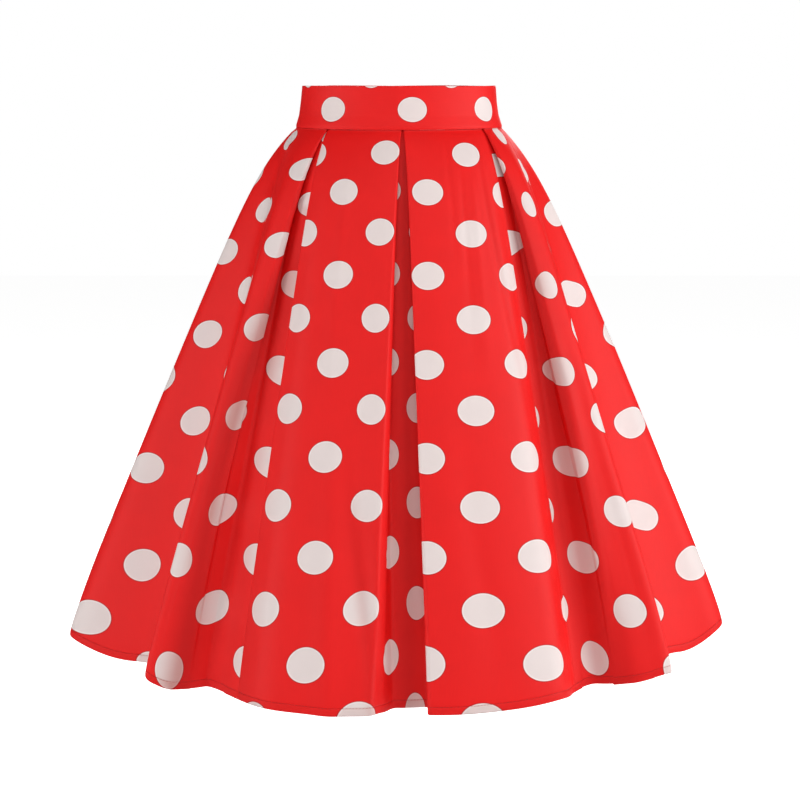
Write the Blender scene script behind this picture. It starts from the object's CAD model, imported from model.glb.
import math

import bpy
from mathutils import Matrix, Vector


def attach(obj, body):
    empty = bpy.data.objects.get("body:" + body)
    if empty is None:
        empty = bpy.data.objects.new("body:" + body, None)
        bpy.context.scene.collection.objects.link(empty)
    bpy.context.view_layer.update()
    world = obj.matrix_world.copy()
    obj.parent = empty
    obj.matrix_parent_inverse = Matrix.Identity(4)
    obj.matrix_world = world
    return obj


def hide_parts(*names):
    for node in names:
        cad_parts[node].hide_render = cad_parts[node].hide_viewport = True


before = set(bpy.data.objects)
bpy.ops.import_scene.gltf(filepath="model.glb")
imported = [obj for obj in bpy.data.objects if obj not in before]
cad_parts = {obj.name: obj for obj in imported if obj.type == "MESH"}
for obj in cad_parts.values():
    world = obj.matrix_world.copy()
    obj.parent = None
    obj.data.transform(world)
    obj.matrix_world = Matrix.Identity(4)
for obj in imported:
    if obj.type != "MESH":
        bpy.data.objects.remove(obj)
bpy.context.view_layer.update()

print("frame loaded:", len(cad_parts), "nodes")

# the view

view = {"place": (0.0, -2.5, 0.036), "lookDown": 8.82, "lens": 93.6, "sensor": 36, "shift": 0.00125,
        "nearest": 0.05, "farthest": 60}

cameraData = bpy.data.cameras.new("photoCamera")
camera = bpy.data.objects.new("photoCamera", cameraData)
bpy.context.scene.collection.objects.link(camera)
camera.location = view["place"]
camera.rotation_euler = (math.radians(90 - view["lookDown"]), 0, 0)
cameraData.lens = view["lens"]
cameraData.sensor_width = view["sensor"]
cameraData.shift_x = view["shift"]
cameraData.clip_start = view["nearest"]
cameraData.clip_end = view["farthest"]
bpy.context.scene.camera = camera

# each soft light: its place, its width and its power
studio = {
    "lights": {
        "keyLight": ((2.3, -2.4, 0.7), 1.6, 33),
        "frontLight": ((-1.3, -3.2, 0.3), 2.0, 15),
        "highLight": ((0.0, -2.6, 2.3), 2.0, 32),
        "leftLight": ((-2.9, -1.3, 0.4), 1.8, 46),
        "rightLight": ((3.0, -0.6, 0.5), 1.6, 58),
        "backLight": ((0.3, 3.3, 0.9), 2.4, 85),
    },
    "aim": (0.0, 0.0, -0.3), "around": 0.05, "aroundColour": (1.0, 0.985, 0.97, 1), "backdrop": 1.0,
    "floorHeight": -1.05, "floorHalf": 9.0, "floorPale": 0.80, "floorRough": 0.9, "floorGlow": 0.93,
}


def softLight(name, place, size, power):
    data = bpy.data.lights.new(name, "AREA")
    data.shape = "DISK"
    data.size = size
    data.energy = power
    lamp = bpy.data.objects.new(name, data)
    bpy.context.scene.collection.objects.link(lamp)
    lamp.location = place
    lamp.rotation_euler = (Vector(studio["aim"]) - Vector(place)).to_track_quat("-Z", "Y").to_euler()


for lightName, (lightPlace, lightSize, lightPower) in studio["lights"].items():
    softLight(lightName, lightPlace, lightSize, lightPower)

bpy.context.scene.view_settings.view_transform = "Standard"
bpy.context.scene.view_settings.look = "None"

# a white room: full white where the camera looks past the skirt, and only a faint light of its own
room = bpy.data.worlds.new("whiteRoom")
bpy.context.scene.world = room
room.use_nodes = True
roomNodes, roomLinks = room.node_tree.nodes, room.node_tree.links
roomNodes.clear()
roomOut = roomNodes.new("ShaderNodeOutputWorld")
roomLight = roomNodes.new("ShaderNodeBackground")
roomLight.inputs["Color"].default_value = studio["aroundColour"]
roomLight.inputs["Strength"].default_value = studio["around"]
roomSeen = roomNodes.new("ShaderNodeBackground")
roomSeen.inputs["Color"].default_value = (1, 1, 1, 1)
roomSeen.inputs["Strength"].default_value = studio["backdrop"]
roomPath = roomNodes.new("ShaderNodeLightPath")
roomMix = roomNodes.new("ShaderNodeMixShader")
roomLinks.new(roomPath.outputs["Is Camera Ray"], roomMix.inputs[0])
roomLinks.new(roomLight.outputs[0], roomMix.inputs[1])
roomLinks.new(roomSeen.outputs[0], roomMix.inputs[2])
roomLinks.new(roomMix.outputs[0], roomOut.inputs["Surface"])
print("camera, lights and white room ready")

# materials

# the print: off-white dots in columns, each column half a repeat below the one before
dotPrint = {"columnPitch": 0.0435, "rowPitch": 0.098, "radius": 0.0158, "edge": 0.00022,
            "rimWide": 0.0013, "rimDark": 0.85, "paleWide": 0.0016}
clothLook = {"red": (0.80, 0.0060, 0.0055), "deepRed": (0.42, 0.003, 0.003), "white": (0.76, 0.66, 0.64),
             "rimRed": (0.30, 0.003, 0.003), "paleWhite": (0.90, 0.83, 0.81), "dullWhite": (0.70, 0.62, 0.60),
             "backRed": (0.66, 0.045, 0.040), "backPale": 0.35, "hollowTint": (0.74, 0.42, 0.40),
             "rough": 0.58, "gloss": 0.24, "sheen": 0.0, "sheenRough": 0.4,
             "cloudScale": 22, "cloudShade": 0.10, "slubStretch": (900, 60, 1), "slubShade": 0.05,
             "paleShare": 0.8, "yarn": 0.00042, "weftPerWarp": 1.18, "yarnHigh": 0.00003,
             "yarnStrength": 0.35}
threadLook = {"twist": 2400, "share": 0.5, "darker": 0.6, "sheen": 0.1}
tapeLook = {"red": (0.62, 0.02, 0.018), "deepRed": (0.36, 0.008, 0.008), "rough": 0.8, "share": 0.35,
            "rib": 0.0009, "pick": 0.0007, "strength": 0.5, "high": 0.0001}
lacquerLook = {"red": (0.62, 0.022, 0.020), "worn": (0.50, 0.05, 0.045), "wornShare": 0.35, "rough": 0.3,
               "metal": 0.35, "coat": 0.6, "coatRough": 0.12, "scuff": 420, "smooth": 0.22, "dull": 0.42}


def startMaterial(name, rough):
    made = bpy.data.materials.new(name)
    made.use_nodes = True
    nodes, links = made.node_tree.nodes, made.node_tree.links
    shader = nodes["Principled BSDF"]
    shader.inputs["Roughness"].default_value = rough
    return made, nodes, links, shader


def mathNode(nodes, links, operation, *values):
    node = nodes.new("ShaderNodeMath")
    node.operation = operation
    for slot, value in enumerate(values):
        if isinstance(value, (int, float)):
            node.inputs[slot].default_value = value
        else:
            links.new(value, node.inputs[slot])
    return node.outputs[0]


def mixColour(nodes, links, share, first, second):
    node = nodes.new("ShaderNodeMix")
    node.data_type = "RGBA"
    for slot, value in ((0, share), (6, first), (7, second)):
        if isinstance(value, tuple):
            node.inputs[slot].default_value = (*value, 1) if len(value) == 3 else value
        elif isinstance(value, (int, float)):
            node.inputs[slot].default_value = value
        else:
            links.new(value, node.inputs[slot])
    return node.outputs[2]


def rampNode(nodes, links, value, low, high, atLow, atHigh):
    node = nodes.new("ShaderNodeMapRange")
    links.new(value, node.inputs["Value"])
    for slot, number in (("From Min", low), ("From Max", high), ("To Min", atLow), ("To Max", atHigh)):
        node.inputs[slot].default_value = number
    return node.outputs[0]


def dottedCloth(name, isBack):
    made, nodes, links, shader = startMaterial(name, clothLook["rough"])
    shader.inputs["Specular IOR Level"].default_value = clothLook["gloss"]
    shader.inputs["Sheen Weight"].default_value = clothLook["sheen"]
    shader.inputs["Sheen Roughness"].default_value = clothLook["sheenRough"]
    uv = nodes.new("ShaderNodeUVMap")
    uv.uv_map = "print"
    split = nodes.new("ShaderNodeSeparateXYZ")
    links.new(uv.outputs[0], split.inputs[0])
    column = mathNode(nodes, links, "DIVIDE", split.outputs[0], dotPrint["columnPitch"])
    row = mathNode(nodes, links, "DIVIDE", split.outputs[1], dotPrint["rowPitch"])
    nearest = None
    for step in (0.0, 1.0):
        aside = mathNode(nodes, links, "WRAP", mathNode(nodes, links, "ADD", column, step), 1.0, -1.0)
        along = mathNode(nodes, links, "WRAP", mathNode(nodes, links, "ADD", row, step / 2), 0.5, -0.5)
        asideLength = mathNode(nodes, links, "MULTIPLY", aside, dotPrint["columnPitch"])
        alongLength = mathNode(nodes, links, "MULTIPLY", along, dotPrint["rowPitch"])
        asideSquare = mathNode(nodes, links, "MULTIPLY", asideLength, asideLength)
        alongSquare = mathNode(nodes, links, "MULTIPLY", alongLength, alongLength)
        far = mathNode(nodes, links, "SQRT", mathNode(nodes, links, "ADD", asideSquare, alongSquare))
        nearest = far if nearest is None else mathNode(nodes, links, "MINIMUM", nearest, far)
    radius, edge = dotPrint["radius"], dotPrint["edge"]
    inDot = rampNode(nodes, links, nearest, radius - edge, radius + edge, 1.0, 0.0)
    rim = rampNode(nodes, links, nearest, radius, radius + dotPrint["rimWide"], dotPrint["rimDark"], 0.0)

    # yarns run with the print, and the dye is a little uneven over a hand's width
    cloud = nodes.new("ShaderNodeTexNoise")
    links.new(uv.outputs[0], cloud.inputs["Vector"])
    cloud.inputs["Scale"].default_value = clothLook["cloudScale"]
    cloud.inputs["Detail"].default_value = 3
    slub = nodes.new("ShaderNodeTexNoise")
    stretch = nodes.new("ShaderNodeMapping")
    stretch.inputs["Scale"].default_value = clothLook["slubStretch"]
    links.new(uv.outputs[0], stretch.inputs["Vector"])
    links.new(stretch.outputs[0], slub.inputs["Vector"])
    slub.inputs["Scale"].default_value = 1
    shade = rampNode(nodes, links, cloud.outputs[0], 0.3, 0.7, 0.0, clothLook["cloudShade"])
    fine = rampNode(nodes, links, slub.outputs[0], 0.3, 0.7, 0.0, clothLook["slubShade"])
    uneven = mathNode(nodes, links, "ADD", shade, fine)
    red = mixColour(nodes, links, uneven, clothLook["red"], clothLook["deepRed"])
    red = mixColour(nodes, links, rim, red, clothLook["rimRed"])
    white = mixColour(nodes, links, fine, clothLook["white"], clothLook["dullWhite"])
    pale = rampNode(nodes, links, nearest, radius - dotPrint["paleWide"], radius, 0.0, clothLook["paleShare"])
    white = mixColour(nodes, links, pale, white, clothLook["paleWhite"])
    colour = mixColour(nodes, links, inDot, red, white)
    if isBack:  # the print shows through faintly on the wrong side
        colour = mixColour(nodes, links, clothLook["backPale"], clothLook["backRed"], colour)
    hollow = nodes.new("ShaderNodeAttribute")  # the dye looks deeper down in the folds
    hollow.attribute_name = "hollow"
    deepened = nodes.new("ShaderNodeMix")
    deepened.data_type = "RGBA"
    deepened.blend_type = "MULTIPLY"
    links.new(hollow.outputs["Fac"], deepened.inputs[0])
    links.new(colour, deepened.inputs[6])
    deepened.inputs[7].default_value = (*clothLook["hollowTint"], 1)
    links.new(deepened.outputs[2], shader.inputs["Base Color"])

    yarns = None
    for axis, closer in ((0, 1.0), (1, clothLook["weftPerWarp"])):
        perMetre = 2 * math.pi / clothLook["yarn"] * closer
        wave = mathNode(nodes, links, "MULTIPLY", split.outputs[axis], perMetre)
        wave = mathNode(nodes, links, "SINE", wave)
        yarns = wave if yarns is None else mathNode(nodes, links, "MULTIPLY", yarns, wave)
    bump = nodes.new("ShaderNodeBump")
    bump.inputs["Strength"].default_value = clothLook["yarnStrength"]
    bump.inputs["Distance"].default_value = clothLook["yarnHigh"]
    links.new(yarns, bump.inputs["Height"])
    links.new(bump.outputs[0], shader.inputs["Normal"])
    return made


def threadMaterial(name, colour, rough):
    made, nodes, links, shader = startMaterial(name, rough)
    place = nodes.new("ShaderNodeTexCoord")
    twist = nodes.new("ShaderNodeTexNoise")
    twist.inputs["Scale"].default_value = threadLook["twist"]
    links.new(place.outputs["Object"], twist.inputs["Vector"])
    share = rampNode(nodes, links, twist.outputs[0], 0.3, 0.7, 0.0, threadLook["share"])
    deeper = tuple(part * threadLook["darker"] for part in colour)
    links.new(mixColour(nodes, links, share, colour, deeper), shader.inputs["Base Color"])
    shader.inputs["Sheen Weight"].default_value = threadLook["sheen"]
    return made


def tapeMaterial():
    made, nodes, links, shader = startMaterial("redZipTape", tapeLook["rough"])
    place = nodes.new("ShaderNodeTexCoord")
    split = nodes.new("ShaderNodeSeparateXYZ")
    links.new(place.outputs["Object"], split.inputs[0])
    waves = []
    for axis, apart in ((0, tapeLook["rib"]), (2, tapeLook["pick"])):
        wave = mathNode(nodes, links, "MULTIPLY", split.outputs[axis], 2 * math.pi / apart)
        waves.append(mathNode(nodes, links, "SINE", wave))
    height = mathNode(nodes, links, "MULTIPLY", *waves)
    share = rampNode(nodes, links, height, -1, 1, 0.0, tapeLook["share"])
    colour = mixColour(nodes, links, share, tapeLook["red"], tapeLook["deepRed"])
    links.new(colour, shader.inputs["Base Color"])
    bump = nodes.new("ShaderNodeBump")
    bump.inputs["Strength"].default_value = tapeLook["strength"]
    bump.inputs["Distance"].default_value = tapeLook["high"]
    links.new(height, bump.inputs["Height"])
    links.new(bump.outputs[0], shader.inputs["Normal"])
    return made


def lacquerMaterial():
    made, nodes, links, shader = startMaterial("redLacqueredMetal", lacquerLook["rough"])
    shader.inputs["Metallic"].default_value = lacquerLook["metal"]
    shader.inputs["Coat Weight"].default_value = lacquerLook["coat"]
    shader.inputs["Coat Roughness"].default_value = lacquerLook["coatRough"]
    place = nodes.new("ShaderNodeTexCoord")
    scuff = nodes.new("ShaderNodeTexNoise")
    scuff.inputs["Scale"].default_value = lacquerLook["scuff"]
    scuff.inputs["Detail"].default_value = 4
    links.new(place.outputs["Object"], scuff.inputs["Vector"])
    share = rampNode(nodes, links, scuff.outputs[0], 0.45, 0.7, 0.0, lacquerLook["wornShare"])
    colour = mixColour(nodes, links, share, lacquerLook["red"], lacquerLook["worn"])
    links.new(colour, shader.inputs["Base Color"])
    rough = rampNode(nodes, links, scuff.outputs[0], 0.3, 0.7, lacquerLook["smooth"], lacquerLook["dull"])
    links.new(rough, shader.inputs["Roughness"])
    return made


faceCloth = dottedCloth("dottedCottonFace", False)
backCloth = dottedCloth("dottedCottonBack", True)
hemThread = threadMaterial("darkRedThread", (0.24, 0.006, 0.006), 0.6)
coilNylon = threadMaterial("redNylonCoil", (0.50, 0.012, 0.011), 0.35)
zipTapeCloth = tapeMaterial()
lacquer = lacquerMaterial()
print("materials ready")

# the cloth's form: the same named sizes and fold lines as the part's

waist = {"wide": 0.1225, "deep": 0.0955, "seamHeight": -0.0224, "frontDip": 0.0016, "printLift": 0.0034,
         "layerStep": 0.0016, "wallInset": 0.0005, "foldCut": 0.0008,
         "seamShade": 0.9, "seamShadeLong": 0.0016, "seamRows": (0.0005, 0.0010, 0.0016, 0.0024)}
hem = {"wide": 0.400, "deep": 0.290, "clothLength": 0.6646}
hang = {"hipEase": 0.10, "hipDrop": 0.07, "seamTurn": 0.005, "foldOpens": 0.30,
        "softRoll": 0.030, "pressedRoll": 0.006, "crispRoll": 0.004}
mesh = {"rowCount": 76, "rowPower": 1.2, "lastPlain": 0.04,
        "roundSteps": 12, "flatSteps": 2, "widestCut": 0.46}


def swell(waistTurn, layer, hemTurn, reach, rise=0.0):
    return [(waistTurn, layer, hemTurn, reach, rise, 0.0)]


def pleat(edgeTurn, tuckTurn, crest, trough, roll, edgeFirst):
    lines = []
    corners = ((edgeTurn, 2, 0.0), (edgeTurn, 1, 0.36), (tuckTurn, 1, 0.72), (tuckTurn, 0, 1.0))
    for turn, layer, share in corners:
        hemTurn, reach, rise = (a + (b - a) * share for a, b in zip(crest, trough))
        lines.append((turn, layer, hemTurn, reach, rise, roll))
    return lines if edgeFirst else lines[::-1]


soft = hang["softRoll"]
pressed = hang["pressedRoll"]
# a line of each panel: turn and layer at the waist, then turn, reach and rise at the hem
panels = {
    "front_centre": (
        swell(-44.0, 0.0, -25.6, 1.028, 0.0020)
        + swell(-38.0, 0.4, -20.0, 1.100, -0.0035)
        + swell(-29.0, 0.9, -14.5, 1.097, -0.0035)
        + swell(-19.0, 1.5, -9.0, 1.081, -0.0025)
        + swell(-9.0, 2.0, -5.0, 1.081, -0.0010)
        + pleat(1.1, -8.4, (-3.8, 1.087, -0.0015), (-1.1, 0.951, 0.0075), pressed, True)
        + swell(1.9, 0.0, 1.8, 0.953, 0.0085)
        + pleat(2.7, 12.2, (4.2, 1.067, 0.0005), (4.9, 0.952, 0.0085), pressed, False)
        + swell(13.0, 2.0, 9.0, 1.074, -0.0005)
        + swell(25.0, 1.4, 14.5, 1.070, -0.0005)
        + swell(36.0, 0.9, 20.5, 1.072)
        + swell(45.5, 0.4, 25.4, 1.059, 0.0025)
        + swell(51.0, 0.1, 28.7, 0.997, 0.0030)
    ),
    "front_side_left": (
        swell(55.0, 0.0, 31.3, 0.942, 0.0050)
        + pleat(54.6, 63.0, (39.6, 1.059, 0.0025), (35.1, 0.943, 0.0105), soft, False)
        + swell(64.5, 2.0, 44.3, 1.095, 0.0035)
        + swell(73.0, 2.0, 45.5, 1.074)
        + swell(79.0, 2.0, 46.8, 0.992, -0.0015)
    ),
    "back_left": (
        swell(82.0, 2.0, 52.4, 0.968, 0.0015)
        + swell(86.0, 2.0, 56.4, 0.894, 0.0065)
        + swell(90.0, 2.0, 61.9, 0.893, 0.0110)
        + swell(95.0, 2.0, 68.4, 0.934)
        + swell(101.0, 2.0, 75.2, 1.008, 0.0085)
        + swell(107.0, 2.0, 84.0, 0.985, 0.0050)
        + swell(113.0, 2.0, 98.0, 0.990, 0.0020)
        + pleat(119.0, 111.0, (110.0, 0.990, 0.0), (119.0, 0.865, 0.0), soft, True)
        + swell(126.0, 0.8, 126.5, 0.925)
        + swell(134.0, 1.5, 133.0, 0.965)
        + swell(141.5, 2.0, 139.0, 0.965)
        + pleat(149.0, 141.0, (145.5, 0.955, 0.0), (154.0, 0.845, 0.0), soft, True)
        + swell(156.5, 0.8, 160.5, 0.895)
        + swell(165.0, 1.5, 167.5, 0.930)
        + swell(173.0, 2.0, 174.0, 0.928)
    ),
    "back_right": (
        swell(180.0, 2.0, 180.0, 0.918)
        + swell(-173.0, 2.0, -174.0, 0.925)
        + swell(-165.0, 1.5, -167.0, 0.935)
        + swell(-156.5, 0.8, -160.5, 0.905)
        + pleat(-149.0, -141.0, (-145.0, 0.950, 0.0), (-153.5, 0.850, 0.0), soft, False)
        + swell(-141.5, 2.0, -138.5, 0.970)
        + swell(-134.0, 1.5, -132.0, 0.962)
        + swell(-126.0, 0.8, -125.0, 0.915)
        + pleat(-119.0, -111.0, (-107.5, 0.990, 0.0), (-117.0, 0.860, 0.0), soft, False)
        + swell(-113.0, 2.0, -98.0, 0.970)
        + swell(-107.0, 2.0, -84.0, 0.985)
        + swell(-101.0, 2.0, -75.0, 1.009, 0.0005)
        + swell(-95.0, 2.0, -69.1, 1.048, -0.0005)
        + swell(-90.0, 2.0, -61.4, 0.958, -0.0010)
        + swell(-86.0, 2.0, -54.7, 0.886, 0.0105)
        + swell(-82.0, 2.0, -51.2, 0.871, 0.0110)
    ),
    "front_side_right": (
        swell(-79.0, 2.0, -45.6, 0.915, 0.0050)
        + swell(-73.0, 2.0, -42.1, 0.988, 0.0095)
        + swell(-64.0, 2.0, -40.3, 1.040, 0.0190)
        + swell(-54.0, 2.0, -39.8, 1.129, 0.0035)
        + pleat(-43.6, -52.0, (-36.3, 1.096, -0.0025), (-33.6, 0.960, 0.0110), soft, True)
    ),
}
order = ("front_centre", "front_side_left", "back_left", "back_right", "front_side_right")


def oval(turn, wide, deep, inset=0.0):
    angle = math.radians(turn)
    spot = Vector((wide * math.sin(angle), -deep * math.cos(angle)))
    outward = Vector((math.sin(angle) / wide, -math.cos(angle) / deep)).normalized()
    return spot - outward * inset


def rounded(points, cuts):
    columns = []
    count = len(points)
    steps, flats, most = mesh["roundSteps"], mesh["flatSteps"], mesh["widestCut"]
    for index in range(count):
        before, point, after = points[index - 1], points[index], points[(index + 1) % count]
        start, end = (before + point) / 2, (point + after) / 2
        near, far = start, end
        if cuts[index] is not None:
            near = point + (before - point) * min(most, cuts[index] / max((before - point).length, 1e-9))
            far = point + (after - point) * min(most, cuts[index] / max((after - point).length, 1e-9))
            columns += [start.lerp(near, step / flats) for step in range(flats)]
        for step in range(steps):
            u = step / steps
            columns.append(near * (1 - u) ** 2 + point * (2 * u * (1 - u)) + far * u ** 2)
        if cuts[index] is not None:
            columns += [far.lerp(end, step / flats) for step in range(flats)]
    return columns


def spring(share):
    ease = hang["hipEase"] * (1 - math.exp(-share / hang["hipDrop"])) * math.sqrt(max(1 - share, 0))
    return (share + ease) * (1 - math.exp(-(share / hang["seamTurn"]) ** 2))


def softness(share):
    x = min(max((share - hang["foldOpens"]) / (1 - hang["foldOpens"]), 0.0), 1.0)
    return x * x * (3 - 2 * x)


def skirtColumns(shares):
    lines, starts = [], {}
    for name in order:
        starts[name] = len(lines)
        lines += panels[name]
    isFold = [line[5] > 0 for line in lines]
    perDegree = math.radians(1) * (waist["wide"] + waist["deep"]) / 2
    turns = [line[0] for line in lines]
    for index in range(1, len(turns)):
        if turns[index] < turns[index - 1] - 180:
            turns[index:] = [turn + 360 for turn in turns[index:]]
            break
    flat = [Vector((turn * perDegree, line[1] * waist["layerStep"])) for turn, line in zip(turns, lines)]
    lap = Vector((360 * perDegree, 0.0))
    cuts = [waist["foldCut"] if mark else None for mark in isFold]
    padded = rounded([flat[-1] - lap] + flat + [flat[0] + lap], [None] + cuts + [None])
    waistLine = []
    for spot in padded[mesh["roundSteps"]:-mesh["roundSteps"]]:
        turn = spot.x / perDegree
        inset = waist["wallInset"] + 2 * waist["layerStep"] - spot.y
        place = oval(turn, waist["wide"], waist["deep"], inset)
        dip = waist["frontDip"] * math.cos(math.radians(turn))
        waistLine.append(Vector((place.x, place.y, waist["seamHeight"] - dip)))
    hemPoints = []
    for line in lines:
        hemPoints.append(Vector((*oval(line[2], hem["wide"] * line[3], hem["deep"] * line[3]), line[4])))
    crispHem = rounded(hemPoints, [hang["crispRoll"] if mark else None for mark in isFold])
    looseHem = rounded(hemPoints, [line[5] if line[5] > 0 else None for line in lines])
    columns = []
    for top, crisp, loose in zip(waistLine, crispHem, looseHem):
        column = []
        for share in shares:
            low = crisp.lerp(loose, softness(share))
            run = low.xy - top.xy
            drop = math.sqrt((hem["clothLength"] - low.z) ** 2 - run.length_squared)
            spot = top.xy + run * spring(share)
            column.append(Vector((spot.x, spot.y, top.z - drop * share)))
        columns.append(column)
    first, lineAt, counted = {}, [], 0
    half = mesh["roundSteps"] // 2
    for index, mark in enumerate(isFold):
        lineAt.append(counted + (mesh["flatSteps"] + half if mark else half))
        for name, start in starts.items():
            if start == index:
                first[name] = counted + half
        counted += mesh["roundSteps"] + (2 * mesh["flatSteps"] if mark else 0)
    return columns, first, lineAt, starts


# distances above the hem's edge that get a row of their own: the turning and its stitches
hemRows = {"above": (0.030, 0.020, 0.014, 0.0115, 0.0102, 0.0094, 0.0090, 0.0086, 0.0078,
                     0.006, 0.004, 0.002, 0.0008),
           "stitch": 0.0090, "turned": 0.0115, "fold": 0.0016, "foldSteps": 6, "pinch": 0.0009,
           "pinchWide": 0.0012, "groove": 0.0005, "grooveWide": 0.0005, "shade": 0.22,
           "grooveShade": 0.6, "grooveShadeWide": 0.0007}
clothLong = hem["clothLength"]
lastPlain = 1 - mesh["lastPlain"] / clothLong
shares = [lastPlain * (step / mesh["rowCount"]) ** mesh["rowPower"] for step in range(mesh["rowCount"] + 1)]
shares[1:1] = [under / clothLong for under in waist["seamRows"]]
shares += [1 - above / clothLong for above in hemRows["above"]]
skirt, firstColumn, lineAt, lineStart = skirtColumns(shares)
columnCount, rowTotal = len(skirt), len(shares)


def outwardOf(column, row):
    right = skirt[(column + 1) % columnCount][row] - skirt[column - 1][row]
    up = skirt[column][max(row - 1, 0)] - skirt[column][min(row + 1, rowTotal - 1)]
    return right.cross(up).normalized()


outward = [[outwardOf(column, row) for row in range(rowTotal)] for column in range(columnCount)]
print("cloth worked out:", columnCount, "columns,", rowTotal, "rows")

# how the print and the creases lie on each panel

# print columns and rows as a sum of: a start, the distance across from the grain line, the distance
# down it, their product, growth towards the hem, bow, the take-up in the pleat, and two rolled edges.
# Past the cloth that the camera sees, the print goes on at the plain rate
printPlain = {"rate": 21.5, "growth": -6.8, "flare": 0.36, "tuck": 0.03, "roll": 0.022,
              "leftRoll": -0.062, "rightRoll": 0.066, "rollAt": 0.3, "rollLong": 0.17}
printLay = {
    "front_centre": {"grain": 9, "fold": 0, "seen": (-1, 1),
                    "column": (2.428, 21.552, 0.238, -9.72, 0.534, -5.731, 0.152, 0.652, 0.082, 0.004),
                    "row": (-0.777, -0.027, 10.931, 0.01, -2.114, -2.98, -0.005, -0.009, -0.011, 0.007)},
    "front_side_left": {"grain": 6, "fold": -0.06, "seen": (-1, 1),
                       "column": (2.728, 45.674, 0.095, -48.851, 0.168, -51.185, -1.406, 2.221, 0, 0),
                       "row": (-0.597, -1.827, 10.39, -5.309, -2.062, -10.32, 0.005, 0.133, 0, 0)},
    "back_left": {"grain": 3, "fold": 0, "seen": (-1, 0.05),
                 "column": (-0.665, 14.627, 3.788, -4.249, 0.221, 0, 0, 0, 0, 0),
                 "row": (-1.224, -1.619, 10.61, -2.165, -2.324, 0, 0, 0, 0, 0)},
    "back_right": {"grain": 15, "fold": 0.1, "seen": (0.04, 1),
                  "column": (0.741, 19.304, -5.731, -36.35, 3.591, 41.741, 0, 0, 0, 0),
                  "row": (-0.355, 3.825, 9.781, 6.236, -2.983, -14.175, 0, 0, 0, 0)},
    "front_side_right": {"grain": 2, "fold": 0.05, "seen": (-1, 1),
                        "column": (1.089, 6.501, -0.894, 33.635, -4.639, -40.625, 0.672, -1.186, 0, 0),
                        "row": (-1.012, -0.317, 10.976, 10.03, -2.896, -17.149, 0.112, -0.305, 0, 0)},
}


def printSpot(lay, across, down):
    near = min(max(across, lay["seen"][0]), lay["seen"][1])
    tuck = math.tanh((near - lay["fold"]) / printPlain["tuck"])
    middle = math.exp(-((down - printPlain["rollAt"]) / printPlain["rollLong"]) ** 2)
    leftRoll = math.tanh((near - printPlain["leftRoll"]) / printPlain["roll"]) * middle
    rightRoll = math.tanh((near - printPlain["rightRoll"]) / printPlain["roll"]) * middle
    terms = (1, near, down, near * down, down * down, near * near, tuck, tuck * down, leftRoll, rightRoll)
    column = sum(weight * term for weight, term in zip(lay["column"], terms))
    row = sum(weight * term for weight, term in zip(lay["row"], terms))
    beyond = across - near  # there the cloth lies as it was cut, fanned out round a point above the waist
    fan = printPlain["flare"] + down
    column += math.sin(beyond / fan) * fan * (printPlain["rate"] + printPlain["growth"] * down)
    row -= (1 - math.cos(beyond / fan)) * fan * (lay["row"][2] + 2 * lay["row"][4] * down)
    row -= 0.5 * printPlain["growth"] * beyond ** 2 * dotPrint["columnPitch"] / dotPrint["rowPitch"]
    return column * dotPrint["columnPitch"], row * dotPrint["rowPitch"]


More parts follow.
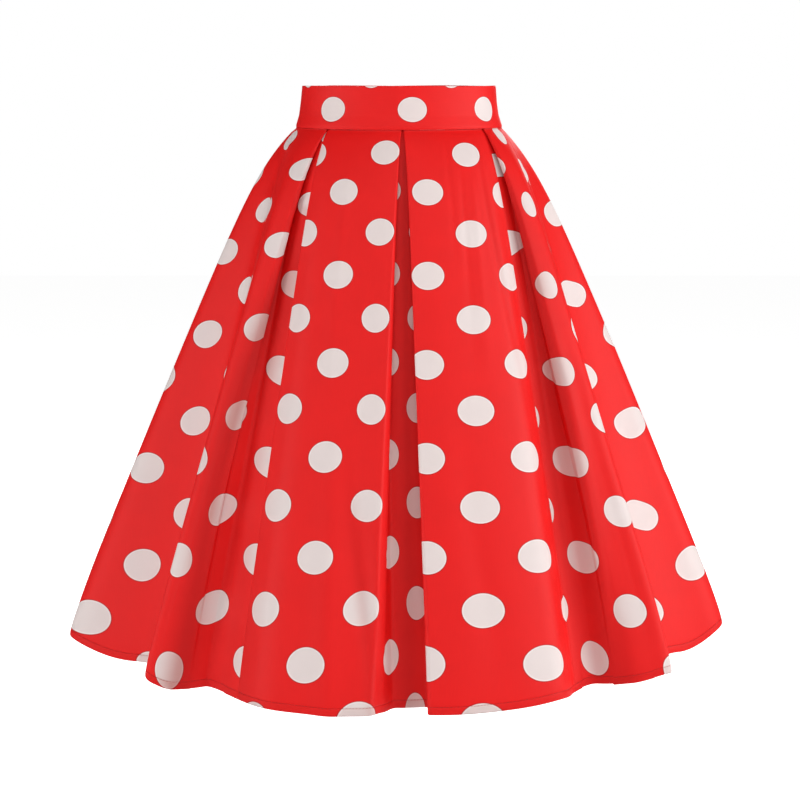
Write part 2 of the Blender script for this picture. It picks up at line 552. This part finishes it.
# soft creases, each from station to station: how far down, how far across, how wide and how deep
# (minus is a trough), and how many widths from its middle a crease still counts
creaseReach = 3
creases = {
    "front_centre": (
        ((0.34, -0.094, 0.010, 0.0), (0.42, -0.083, 0.013, -0.0020), (0.50, -0.072, 0.014, -0.0045),
         (0.58, -0.061, 0.014, -0.0060), (0.70, -0.050, 0.015, -0.0040)),
        ((0.30, -0.090, 0.012, 0.0), (0.42, -0.106, 0.015, 0.0025), (0.54, -0.110, 0.016, 0.0045),
         (0.70, -0.112, 0.017, 0.0035)),
        ((0.02, 0.131, 0.004, 0.0), (0.06, 0.134, 0.004, -0.0012), (0.13, 0.143, 0.005, -0.0018),
         (0.21, 0.158, 0.006, -0.0018), (0.28, 0.172, 0.007, -0.0010), (0.36, 0.182, 0.008, 0.0)),
        ((0.03, 0.106, 0.003, 0.0), (0.07, 0.107, 0.003, -0.0007), (0.14, 0.109, 0.004, -0.0010),
         (0.22, 0.111, 0.005, -0.0006), (0.30, 0.112, 0.005, 0.0)),
        ((0.00, 0.090, 0.003, 0.0), (0.04, 0.091, 0.003, -0.0007), (0.10, 0.094, 0.004, -0.0008),
         (0.17, 0.094, 0.004, 0.0)),
        ((0.05, 0.120, 0.004, 0.0), (0.10, 0.122, 0.004, 0.0008), (0.20, 0.126, 0.006, 0.0008),
         (0.30, 0.130, 0.008, 0.0)),
        ((0.30, 0.088, 0.012, 0.0), (0.44, 0.102, 0.014, -0.0012), (0.54, 0.118, 0.014, -0.0014),
         (0.64, 0.130, 0.014, 0.0)),
        ((0.02, -0.100, 0.006, 0.0), (0.08, -0.101, 0.007, 0.0010), (0.20, -0.108, 0.009, 0.0012),
         (0.34, -0.112, 0.010, 0.0)),
    ),
    "front_side_left": (
        ((0.22, -0.043, 0.009, 0.0), (0.32, -0.046, 0.011, 0.0050), (0.42, -0.056, 0.014, 0.0090),
         (0.52, -0.066, 0.016, 0.0090), (0.62, -0.078, 0.016, 0.0040), (0.70, -0.084, 0.016, 0.0)),
        ((0.28, -0.016, 0.008, 0.0), (0.42, -0.018, 0.010, 0.0030), (0.55, -0.014, 0.012, 0.0040),
         (0.70, -0.010, 0.014, 0.0015)),
    ),
    "back_left": (
        ((0.30, 0.050, 0.012, 0.0), (0.42, 0.062, 0.015, -0.0030), (0.55, 0.078, 0.017, -0.0045),
         (0.70, 0.088, 0.018, -0.0035)),
        ((0.34, 0.150, 0.013, 0.0), (0.48, 0.172, 0.016, 0.0030), (0.60, 0.196, 0.018, 0.0040),
         (0.70, 0.210, 0.019, 0.0025)),
        ((0.28, 0.285, 0.012, 0.0), (0.40, 0.312, 0.014, -0.0025), (0.56, 0.350, 0.018, -0.0040),
         (0.70, 0.385, 0.020, -0.0045)),
    ),
    "back_right": (
        ((0.36, 0.060, 0.012, 0.0), (0.50, 0.072, 0.016, 0.0035), (0.62, 0.080, 0.018, 0.0040),
         (0.70, 0.084, 0.018, 0.0030)),
        ((0.30, -0.120, 0.012, 0.0), (0.44, -0.142, 0.015, -0.0030), (0.58, -0.166, 0.018, -0.0045),
         (0.70, -0.186, 0.020, -0.0040)),
        ((0.26, -0.235, 0.011, 0.0), (0.38, -0.262, 0.014, 0.0020), (0.52, -0.296, 0.016, 0.0032),
         (0.66, -0.330, 0.018, 0.0)),
    ),
    "front_side_right": (
        ((0.22, 0.060, 0.010, 0.0), (0.32, 0.062, 0.012, 0.0050), (0.42, 0.063, 0.014, 0.0080),
         (0.52, 0.067, 0.015, 0.0070), (0.62, 0.074, 0.015, 0.0030), (0.70, 0.082, 0.015, 0.0)),
    ),
}
# where the folds are deep and the cloth lies in its own shadow: the same stations, the last is how deep
hollows = {
    "front_centre": (
        ((0.00, -0.004, 0.014, 0.55), (0.30, -0.005, 0.022, 0.50), (0.70, -0.006, 0.026, 0.50)),
        ((0.00, -0.142, 0.006, 0.30), (0.05, -0.150, 0.008, 0.40), (0.16, -0.190, 0.012, 0.60),
         (0.70, -0.240, 0.030, 0.50)),
        ((0.36, -0.092, 0.006, 0.0), (0.46, -0.080, 0.007, 0.25), (0.56, -0.070, 0.008, 0.40),
         (0.70, -0.056, 0.010, 0.20)),
        ((0.02, 0.131, 0.004, 0.0), (0.08, 0.136, 0.005, 0.15), (0.20, 0.156, 0.007, 0.25),
         (0.34, 0.180, 0.008, 0.0)),
    ),
    "front_side_left": (
        ((0.03, -0.036, 0.008, 0.0), (0.07, -0.039, 0.010, 0.35), (0.12, -0.043, 0.014, 0.90),
         (0.20, -0.048, 0.018, 1.0), (0.34, -0.060, 0.021, 0.90), (0.48, -0.071, 0.025, 0.65),
         (0.58, -0.077, 0.028, 0.55), (0.70, -0.080, 0.030, 0.50)),
    ),
    "back_left": (
        ((0.30, 0.050, 0.012, 0.0), (0.45, 0.065, 0.014, 0.25), (0.70, 0.088, 0.018, 0.30)),
        ((0.28, 0.285, 0.012, 0.0), (0.45, 0.324, 0.014, 0.25), (0.70, 0.385, 0.018, 0.35)),
    ),
    "back_right": (
        ((0.30, -0.120, 0.012, 0.0), (0.45, -0.144, 0.014, 0.25), (0.70, -0.186, 0.018, 0.35)),
    ),
    "front_side_right": (
        ((0.10, 0.070, 0.010, 0.3), (0.16, 0.062, 0.014, 0.6), (0.22, 0.050, 0.016, 0.9),
         (0.31, 0.042, 0.016, 1.0), (0.43, 0.046, 0.017, 1.0), (0.56, 0.060, 0.018, 0.95),
         (0.70, 0.068, 0.020, 0.9)),
        ((0.10, 0.086, 0.010, 0.4), (0.20, 0.082, 0.018, 0.7), (0.27, 0.078, 0.018, 0.6),
         (0.36, 0.090, 0.014, 0.35), (0.55, 0.118, 0.016, 0.35), (0.70, 0.130, 0.016, 0.3)),
    ),
}


def alongStations(table, across, down):
    total = 0.0
    for stations in table:
        if not stations[0][0] <= down <= stations[-1][0]:
            continue
        for index, (upper, lower) in enumerate(zip(stations, stations[1:])):
            if down <= lower[0]:
                break
        long = lower[0] - upper[0]
        share = (down - upper[0]) / long
        before = stations[max(index - 1, 0)]
        after = stations[min(index + 2, len(stations) - 1)]
        here = []
        for part in (1, 2, 3):  # a smooth line through the stations
            leave = (lower[part] - before[part]) / (lower[0] - before[0]) * long
            reach = (after[part] - upper[part]) / (after[0] - upper[0]) * long
            here.append(upper[part] * (1 + 2 * share) * (1 - share) ** 2 + leave * share * (1 - share) ** 2
                        + lower[part] * share ** 2 * (3 - 2 * share) + reach * share ** 2 * (share - 1))
        middle, wide, deep = here
        off = (across - middle) / wide
        if abs(off) < creaseReach:
            total += deep * math.exp(-off * off)
    return total


# skirt panels

panelMake = {"wall": 0.0008, "seamGap": 0.0001, "turnedColumns": 4, "turnedIn": 0.0011,
             "seamRoll": 0.00015, "seamReach": 0.0022, "edgeSteps": (0.0005, 0.0012, 0.0022),
             "edgeShares": (0.25, 0.45, 0.65)}


def clothGrid(name, points, printPlace, deepness=None):
    columns, rows = len(points), len(points[0])
    bpy.ops.object.select_all(action="DESELECT")
    bpy.ops.mesh.primitive_grid_add(x_subdivisions=columns - 1, y_subdivisions=rows - 1, size=1)
    piece = bpy.context.object
    piece.name = name
    data = piece.data
    data.name = name
    places = []
    for vertex in data.vertices:
        column = round((vertex.co.x + 0.5) * (columns - 1))
        row = round((0.5 - vertex.co.y) * (rows - 1))
        places.append((column, row))
    for vertex, (column, row) in zip(data.vertices, places):
        vertex.co = points[column][row]
    layer = data.uv_layers[0] if data.uv_layers else data.uv_layers.new(name="print")
    layer.name = "print"
    for loop in data.loops:
        column, row = places[loop.vertex_index]
        layer.data[loop.index].uv = printPlace[column][row]
    if deepness:
        mark = data.attributes.new("hollow", "FLOAT", "POINT")
        for vertex, (column, row) in zip(data.vertices, places):
            mark.data[vertex.index].value = deepness[column][row]
    data.shade_smooth()
    return piece


def giveWall(piece, thick):
    bpy.ops.object.select_all(action="DESELECT")
    piece.select_set(True)
    bpy.context.view_layer.objects.active = piece
    piece.data.materials.clear()
    piece.data.materials.append(faceCloth)
    piece.data.materials.append(backCloth)
    shell = piece.modifiers.new("wall", "SOLIDIFY")
    shell.thickness = thick
    shell.offset = 0.0
    shell.use_quality_normals = True
    shell.material_offset = 1
    shell.material_offset_rim = 0
    bpy.ops.object.modifier_apply(modifier=shell.name)


def panelColumns(name):
    start = firstColumn[name]
    end = firstColumn[order[(order.index(name) + 1) % len(order)]]
    if end <= start:
        end += columnCount
    return [index % columnCount for index in range(start, end + 1)]


def panelLay(name, numbers):
    # distance across from the grain line in every row, and down the grain line
    grain = numbers.index(lineAt[lineStart[name] + printLay[name]["grain"]])
    across = []
    for row in range(rowTotal):
        run = [0.0]
        for left, right in zip(numbers, numbers[1:]):
            run.append(run[-1] + (skirt[right][row] - skirt[left][row]).length)
        across.append([value - run[grain] for value in run])
    down = [0.0]
    middle = skirt[numbers[grain]]
    for upper, lower in zip(middle, middle[1:]):
        down.append(down[-1] + (lower - upper).length)
    return across, down


def panelSurface(name):
    numbers = panelColumns(name)
    across, down = panelLay(name, numbers)
    lines = []  # one entry a column: points, outward directions, distances across, distance to the seam
    for place, number in enumerate(numbers):
        distances = [across[row][place] for row in range(rowTotal)]
        lines.append([list(skirt[number]), list(outward[number]), distances])
    for atStart in (True, False):
        edge, inner = (lines[0], lines[1]) if atStart else (lines[-1], lines[-2])
        extra = []
        for reach, most in zip(panelMake["edgeSteps"], panelMake["edgeShares"]):
            line = [[], [], []]
            for row in range(rowTotal):
                gap = (inner[0][row] - edge[0][row]).length
                share = min(reach / gap, most)
                line[0].append(edge[0][row].lerp(inner[0][row], share))
                line[1].append(edge[1][row].lerp(inner[1][row], share).normalized())
                line[2].append(edge[2][row] + (inner[2][row] - edge[2][row]) * share)
            extra.append(line)
        half = panelMake["seamGap"] / 2
        edge[0] = [a + (b - a).normalized() * half for a, b in zip(edge[0], inner[0])]
        if atStart:
            lines[1:1] = extra
        else:
            lines[-1:-1] = extra[::-1]
    # the turnings lie open behind the panel, as far in as its next few columns
    reach = len(panelMake["edgeSteps"]) + panelMake["turnedColumns"]
    for atStart in (True, False):
        near = lines[1:reach] if atStart else lines[-2:-reach - 1:-1]
        edge = lines[0] if atStart else lines[-1]
        turned = []
        for line in near:
            spots = [spot - out * panelMake["turnedIn"] for spot, out in zip(line[0], line[1])]
            turned.append([spots, line[1], [2 * rim - here for rim, here in zip(edge[2], line[2])]])
        lines = turned[::-1] + lines if atStart else lines + turned
    return lines, down


def buildPanel(name):
    lines, down = panelSurface(name)
    lay = printLay[name]
    seenDown = [value - waist["printLift"] for value in down]  # the tables count from the solids' waist seam
    points, prints, deepness, stitchPath = [], [], [], []
    turnedCount = len(panelMake["edgeSteps"]) + panelMake["turnedColumns"] - 1
    edgeFirst = [line[2] for line in (lines[turnedCount], lines[-1 - turnedCount])]
    hemStart = rowTotal - len(hemRows["above"])
    stitchRow = hemStart + hemRows["above"].index(hemRows["stitch"])
    for number, line in enumerate(lines):
        isTurned = not turnedCount <= number < len(lines) - turnedCount
        column, uv, deep = [], [], []
        for row in range(rowTotal):
            spot, out, across = line[0][row], line[1][row], line[2][row]
            toSeam = min(abs(across - edgeFirst[0][row]), abs(across - edgeFirst[1][row]))
            fold = alongStations(creases[name], across, seenDown[row])
            away = Vector((spot.x / hem["wide"] ** 2, spot.y / hem["deep"] ** 2, 0)).normalized()
            lift = 0.0
            if toSeam < panelMake["seamReach"]:
                lift -= panelMake["seamRoll"] * (1 - toSeam / panelMake["seamReach"]) ** 2
            above = (1 - shares[row]) * clothLong
            fromStitch = above - hemRows["stitch"]
            lift -= hemRows["groove"] * math.exp(-(fromStitch / hemRows["grooveWide"]) ** 2)
            column.append(spot + out * lift + away * fold)
            uv.append(printSpot(lay, across, seenDown[row]))
            shade = alongStations(hollows[name], across, seenDown[row])
            shade += waist["seamShade"] * math.exp(-(down[row] / waist["seamShadeLong"]) ** 2)
            if above < hemRows["stitch"]:
                shade += hemRows["shade"]
            shade += hemRows["grooveShade"] * math.exp(-(fromStitch / hemRows["grooveShadeWide"]) ** 2)
            deep.append(min(1.0, shade))
        if not isTurned:
            stitchPath.append((column[stitchRow].copy(), line[1][stitchRow]))
        # the hem goes round its fold and up the inside
        last = rowTotal - 1
        out = line[1][last]
        low = (column[last] - column[last - 1]).normalized()
        half = hemRows["fold"] / 2
        base, acrossHem = column[last].copy(), line[2][last]
        for step in range(1, hemRows["foldSteps"]):
            bend = math.pi * step / hemRows["foldSteps"]
            column.append(base - out * (half * (1 - math.cos(bend))) + low * (half * math.sin(bend)))
            uv.append(printSpot(lay, acrossHem, seenDown[last] + half * bend))
            deep.append(deep[last])
        for row in range(last, hemStart - 1, -1):
            above = (1 - shares[row]) * clothLong
            if above > hemRows["turned"] + 1e-6:
                break
            pinch = math.exp(-((above - hemRows["stitch"]) / hemRows["pinchWide"]) ** 2)
            inside = hemRows["fold"] + (hemRows["pinch"] + hemRows["groove"] - hemRows["fold"]) * pinch
            column.append(column[row] - line[1][row] * inside)
            uv.append(printSpot(lay, line[2][row], seenDown[last] + half * math.pi + above))
            deep.append(deep[row])
        points.append(column)
        prints.append(uv)
        deepness.append(deep)
    piece = clothGrid(name.replace("_", ".") + ".cloth", points, prints, deepness)
    giveWall(piece, panelMake["wall"])
    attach(piece, "skirt")
    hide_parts(name)
    return piece, stitchPath


panelPieces, hemPaths = {}, {}
for name in order:
    panelPieces[name], hemPaths[name] = buildPanel(name)
    print("panel sewn up:", name, len(panelPieces[name].data.polygons), "faces")

# waistband

band = {"wall": 0.0020, "slit": 0.0003, "steps": 240, "bevel": 0.0008,
        "outline": ((0.0260, 0.1150, 0.0885), (0.0060, 0.1168, 0.0903), (-0.0085, 0.1188, 0.0922),
                    (-0.0160, 0.1212, 0.0943), (-0.0203, 0.1225, 0.0955), (-0.0221, 0.1225, 0.0955)),
        "runWide": 0.1180, "runDeep": 0.0915, "wobble": 0.00025, "wobbles": 7, "wobbleRise": 60,
        "topWave": 0.0003, "topWaves": 5, "topWaveEnds": 8, "dipFrom": -0.0203, "dipLong": 0.0018,
        "bevelSteps": 3, "bevelOver": 50, "rows": 26, "printTurn": 7.6, "printHeight": -0.0008,
        "printSquash": 1.12, "printEase": 0.7,
        "printReach": 0.0142, "printRun": 1.012, "printWide": 0.0013}


def bandSize(height):
    outline = band["outline"]
    for (upper, wideUp, deepUp), (lower, wideLow, deepLow) in zip(outline, outline[1:]):
        if height >= lower - 1e-9:
            share = (upper - height) / (upper - lower)
            return wideUp + (wideLow - wideUp) * share, deepUp + (deepLow - deepUp) * share
    return outline[-1][1:]


def bandPrint(height, run):
    # the repeat runs along the band; below the dots the cloth is eased into the seam
    up = (height - band["printHeight"]) * band["printSquash"]
    low = -band["printReach"] * band["printSquash"]
    if up < low:
        up = low + (up - low) * band["printEase"]
    along = run * band["printRun"]
    along -= band["printWide"] * math.sin(2 * math.pi * along / dotPrint["rowPitch"])
    return up, along


def buildBand():
    slit = math.degrees(band["slit"] / waist["wide"])
    top, bottom = band["outline"][0][0], band["outline"][-1][0]
    points, prints = [], []
    run, before = 0.0, None
    runs = []
    for step in range(band["steps"] + 1):
        turn = -180 + slit + (360 - 2 * slit) * step / band["steps"]
        here = oval(turn, band["runWide"], band["runDeep"])
        run += (here - before).length if before is not None else 0.0
        before = here
        runs.append((turn, run))
    middle = min(runs, key=lambda pair: abs(pair[0] - band["printTurn"]))[1]
    for turn, run in runs:
        column, uv = [], []
        for row in range(band["rows"] + 1):
            share = row / band["rows"]
            height = top + (bottom - top) * share
            wide, deep = bandSize(height)
            angle = math.radians(turn)
            wobble = band["wobble"] * math.sin(angle * band["wobbles"] + height * band["wobbleRise"])
            spot = oval(turn, wide, deep, band["wall"] / 2 - wobble * math.sin(math.pi * share))
            dip = waist["frontDip"] * math.cos(angle) * max(0.0, (band["dipFrom"] - height) / band["dipLong"])
            nearTop = max(0.0, 1 - share * band["topWaveEnds"])
            edge = band["topWave"] * math.sin(angle * band["topWaves"] + 1) * nearTop
            column.append(Vector((spot.x, spot.y, height - dip + edge)))
            uv.append(bandPrint(height, run - middle))
        points.append(column)
        prints.append(uv)
    piece = clothGrid("waistband.cloth", points, prints)
    giveWall(piece, band["wall"])
    bevel = piece.modifiers.new("softFold", "BEVEL")
    bevel.width = band["bevel"]
    bevel.segments = band["bevelSteps"]
    bevel.limit_method = "ANGLE"
    bevel.angle_limit = math.radians(band["bevelOver"])
    bpy.ops.object.modifier_apply(modifier=bevel.name)
    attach(piece, "skirt")
    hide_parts("waistband")
    return piece


bandPiece = buildBand()
print("waistband made")

# stitches and coil: small beads along a path, joined in one mesh

stitching = {"long": 0.0031, "gap": 0.0006, "wide": 0.00052, "thick": 0.00052, "proud": 0.00030}
innerStitching = {**stitching, "proud": hemRows["pinch"] + hemRows["groove"] + 0.00030}


def stitchTemplate():
    bpy.ops.object.select_all(action="DESELECT")
    bpy.ops.mesh.primitive_uv_sphere_add(segments=8, ring_count=6, radius=0.5)
    seed = bpy.context.object
    corners = [vertex.co.copy() for vertex in seed.data.vertices]
    faces = [tuple(polygon.vertices) for polygon in seed.data.polygons]
    bpy.data.objects.remove(seed)
    return corners, faces


def sewLine(name, path, side, sizes, look):
    corners, faces = stitchTemplate()
    places, allFaces = [], []
    pitch = sizes["long"] + sizes["gap"]
    travelled, nextAt = 0.0, pitch / 2
    for (start, outStart), (end, outEnd) in zip(path, path[1:]):
        length = (end - start).length
        while length > 0 and travelled + length >= nextAt:
            share = (nextAt - travelled) / length
            spot = start.lerp(end, share)
            out = outStart.lerp(outEnd, share).normalized() * side
            along = (end - start).normalized()
            across = out.cross(along).normalized()
            axes = (along * sizes["long"], across * sizes["wide"], out * sizes["thick"])
            turn = Matrix(axes).transposed()
            base = len(places)
            places += [spot + out * sizes["proud"] + turn @ corner for corner in corners]
            allFaces += [tuple(index + base for index in face) for face in faces]
            nextAt += pitch
        travelled += length
    data = bpy.data.meshes.new(name)
    data.from_pydata(places, [], allFaces)
    data.shade_smooth()
    data.materials.append(look)
    piece = bpy.data.objects.new(name, data)
    bpy.context.scene.collection.objects.link(piece)
    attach(piece, "skirt")
    return piece


for name in order:
    spoken = name.replace("_", ".")
    sewLine(spoken + ".hemStitches", hemPaths[name], 1, stitching, hemThread)
    sewLine(spoken + ".innerStitches", hemPaths[name], -1, innerStitching, hemThread)
print("hems stitched")

# zip: the closed coil lies on the inner side of the tape, with a stop at its foot

zipSizes = {"top": 0.0235, "bandEnd": -0.0203, "bandSteps": 12, "start": 0.004, "foot": 0.262,
            "inBand": 0.0036, "inCloth": 0.0021, "ease": 0.0010, "easeShare": 0.03, "stopRun": 0.0028}
coilTeeth = {"long": 0.00095, "gap": 0.00035, "wide": 0.0046, "thick": 0.0014, "proud": 0.0}
endStop = {"long": 0.0026, "gap": 0.0002, "wide": 0.0056, "thick": 0.0019, "proud": 0.0}


def zipPath():
    path = []
    for step in range(zipSizes["bandSteps"] + 1):
        height = zipSizes["top"] + (zipSizes["bandEnd"] - zipSizes["top"]) * step / zipSizes["bandSteps"]
        path.append((Vector((0.0, bandSize(height)[1] - zipSizes["inBand"], height)), Vector((0, 1, 0))))
    seam = firstColumn["back_right"]
    for row, share in enumerate(shares):
        if zipSizes["start"] < share < zipSizes["foot"]:
            inset = zipSizes["inCloth"] + zipSizes["ease"] * math.exp(-share / zipSizes["easeShare"])
            path.append((skirt[seam][row] - outward[seam][row] * inset, outward[seam][row]))
    return path


coilPath = zipPath()
sewLine("zip.coil", coilPath, 1, coilTeeth, coilNylon)
footSpot, footOut = coilPath[-1]
footDown = (footSpot - coilPath[-2][0]).normalized()
footPath = [(footSpot, footOut), (footSpot + footDown * zipSizes["stopRun"], footOut)]
sewLine("zip.endStop", footPath, 1, endStop, lacquer)
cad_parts["zip_tape"].data.materials.clear()
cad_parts["zip_tape"].data.materials.append(zipTapeCloth)
for node in ("zip_slider", "zip_pull"):
    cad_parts[node].data.materials.clear()
    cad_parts[node].data.materials.append(lacquer)
print("zip made")

# floor

bpy.ops.object.select_all(action="DESELECT")
bpy.ops.mesh.primitive_plane_add(size=2 * studio["floorHalf"], location=(0, 0, studio["floorHeight"]))
floor = bpy.context.object
floor.name = "paleFloor"
floorPaint, floorNodes, floorLinks, floorShader = startMaterial("palePaper", studio["floorRough"])
floorShader.inputs["Base Color"].default_value = (*(studio["floorPale"],) * 3, 1)
floorShader.inputs["Emission Color"].default_value = (1, 1, 1, 1)
floorPath = floorNodes.new("ShaderNodeLightPath")  # it looks lit from all round, but throws no light up
floorSeen = floorPath.outputs["Is Camera Ray"]
floorGlow = mathNode(floorNodes, floorLinks, "MULTIPLY", floorSeen, studio["floorGlow"])
floorLinks.new(floorGlow, floorShader.inputs["Emission Strength"])
floor.data.materials.append(floorPaint)

# what each cloth was cut to: width at the hem, length, and the share of that rectangle in the gore

print("sizes kept, finishing")
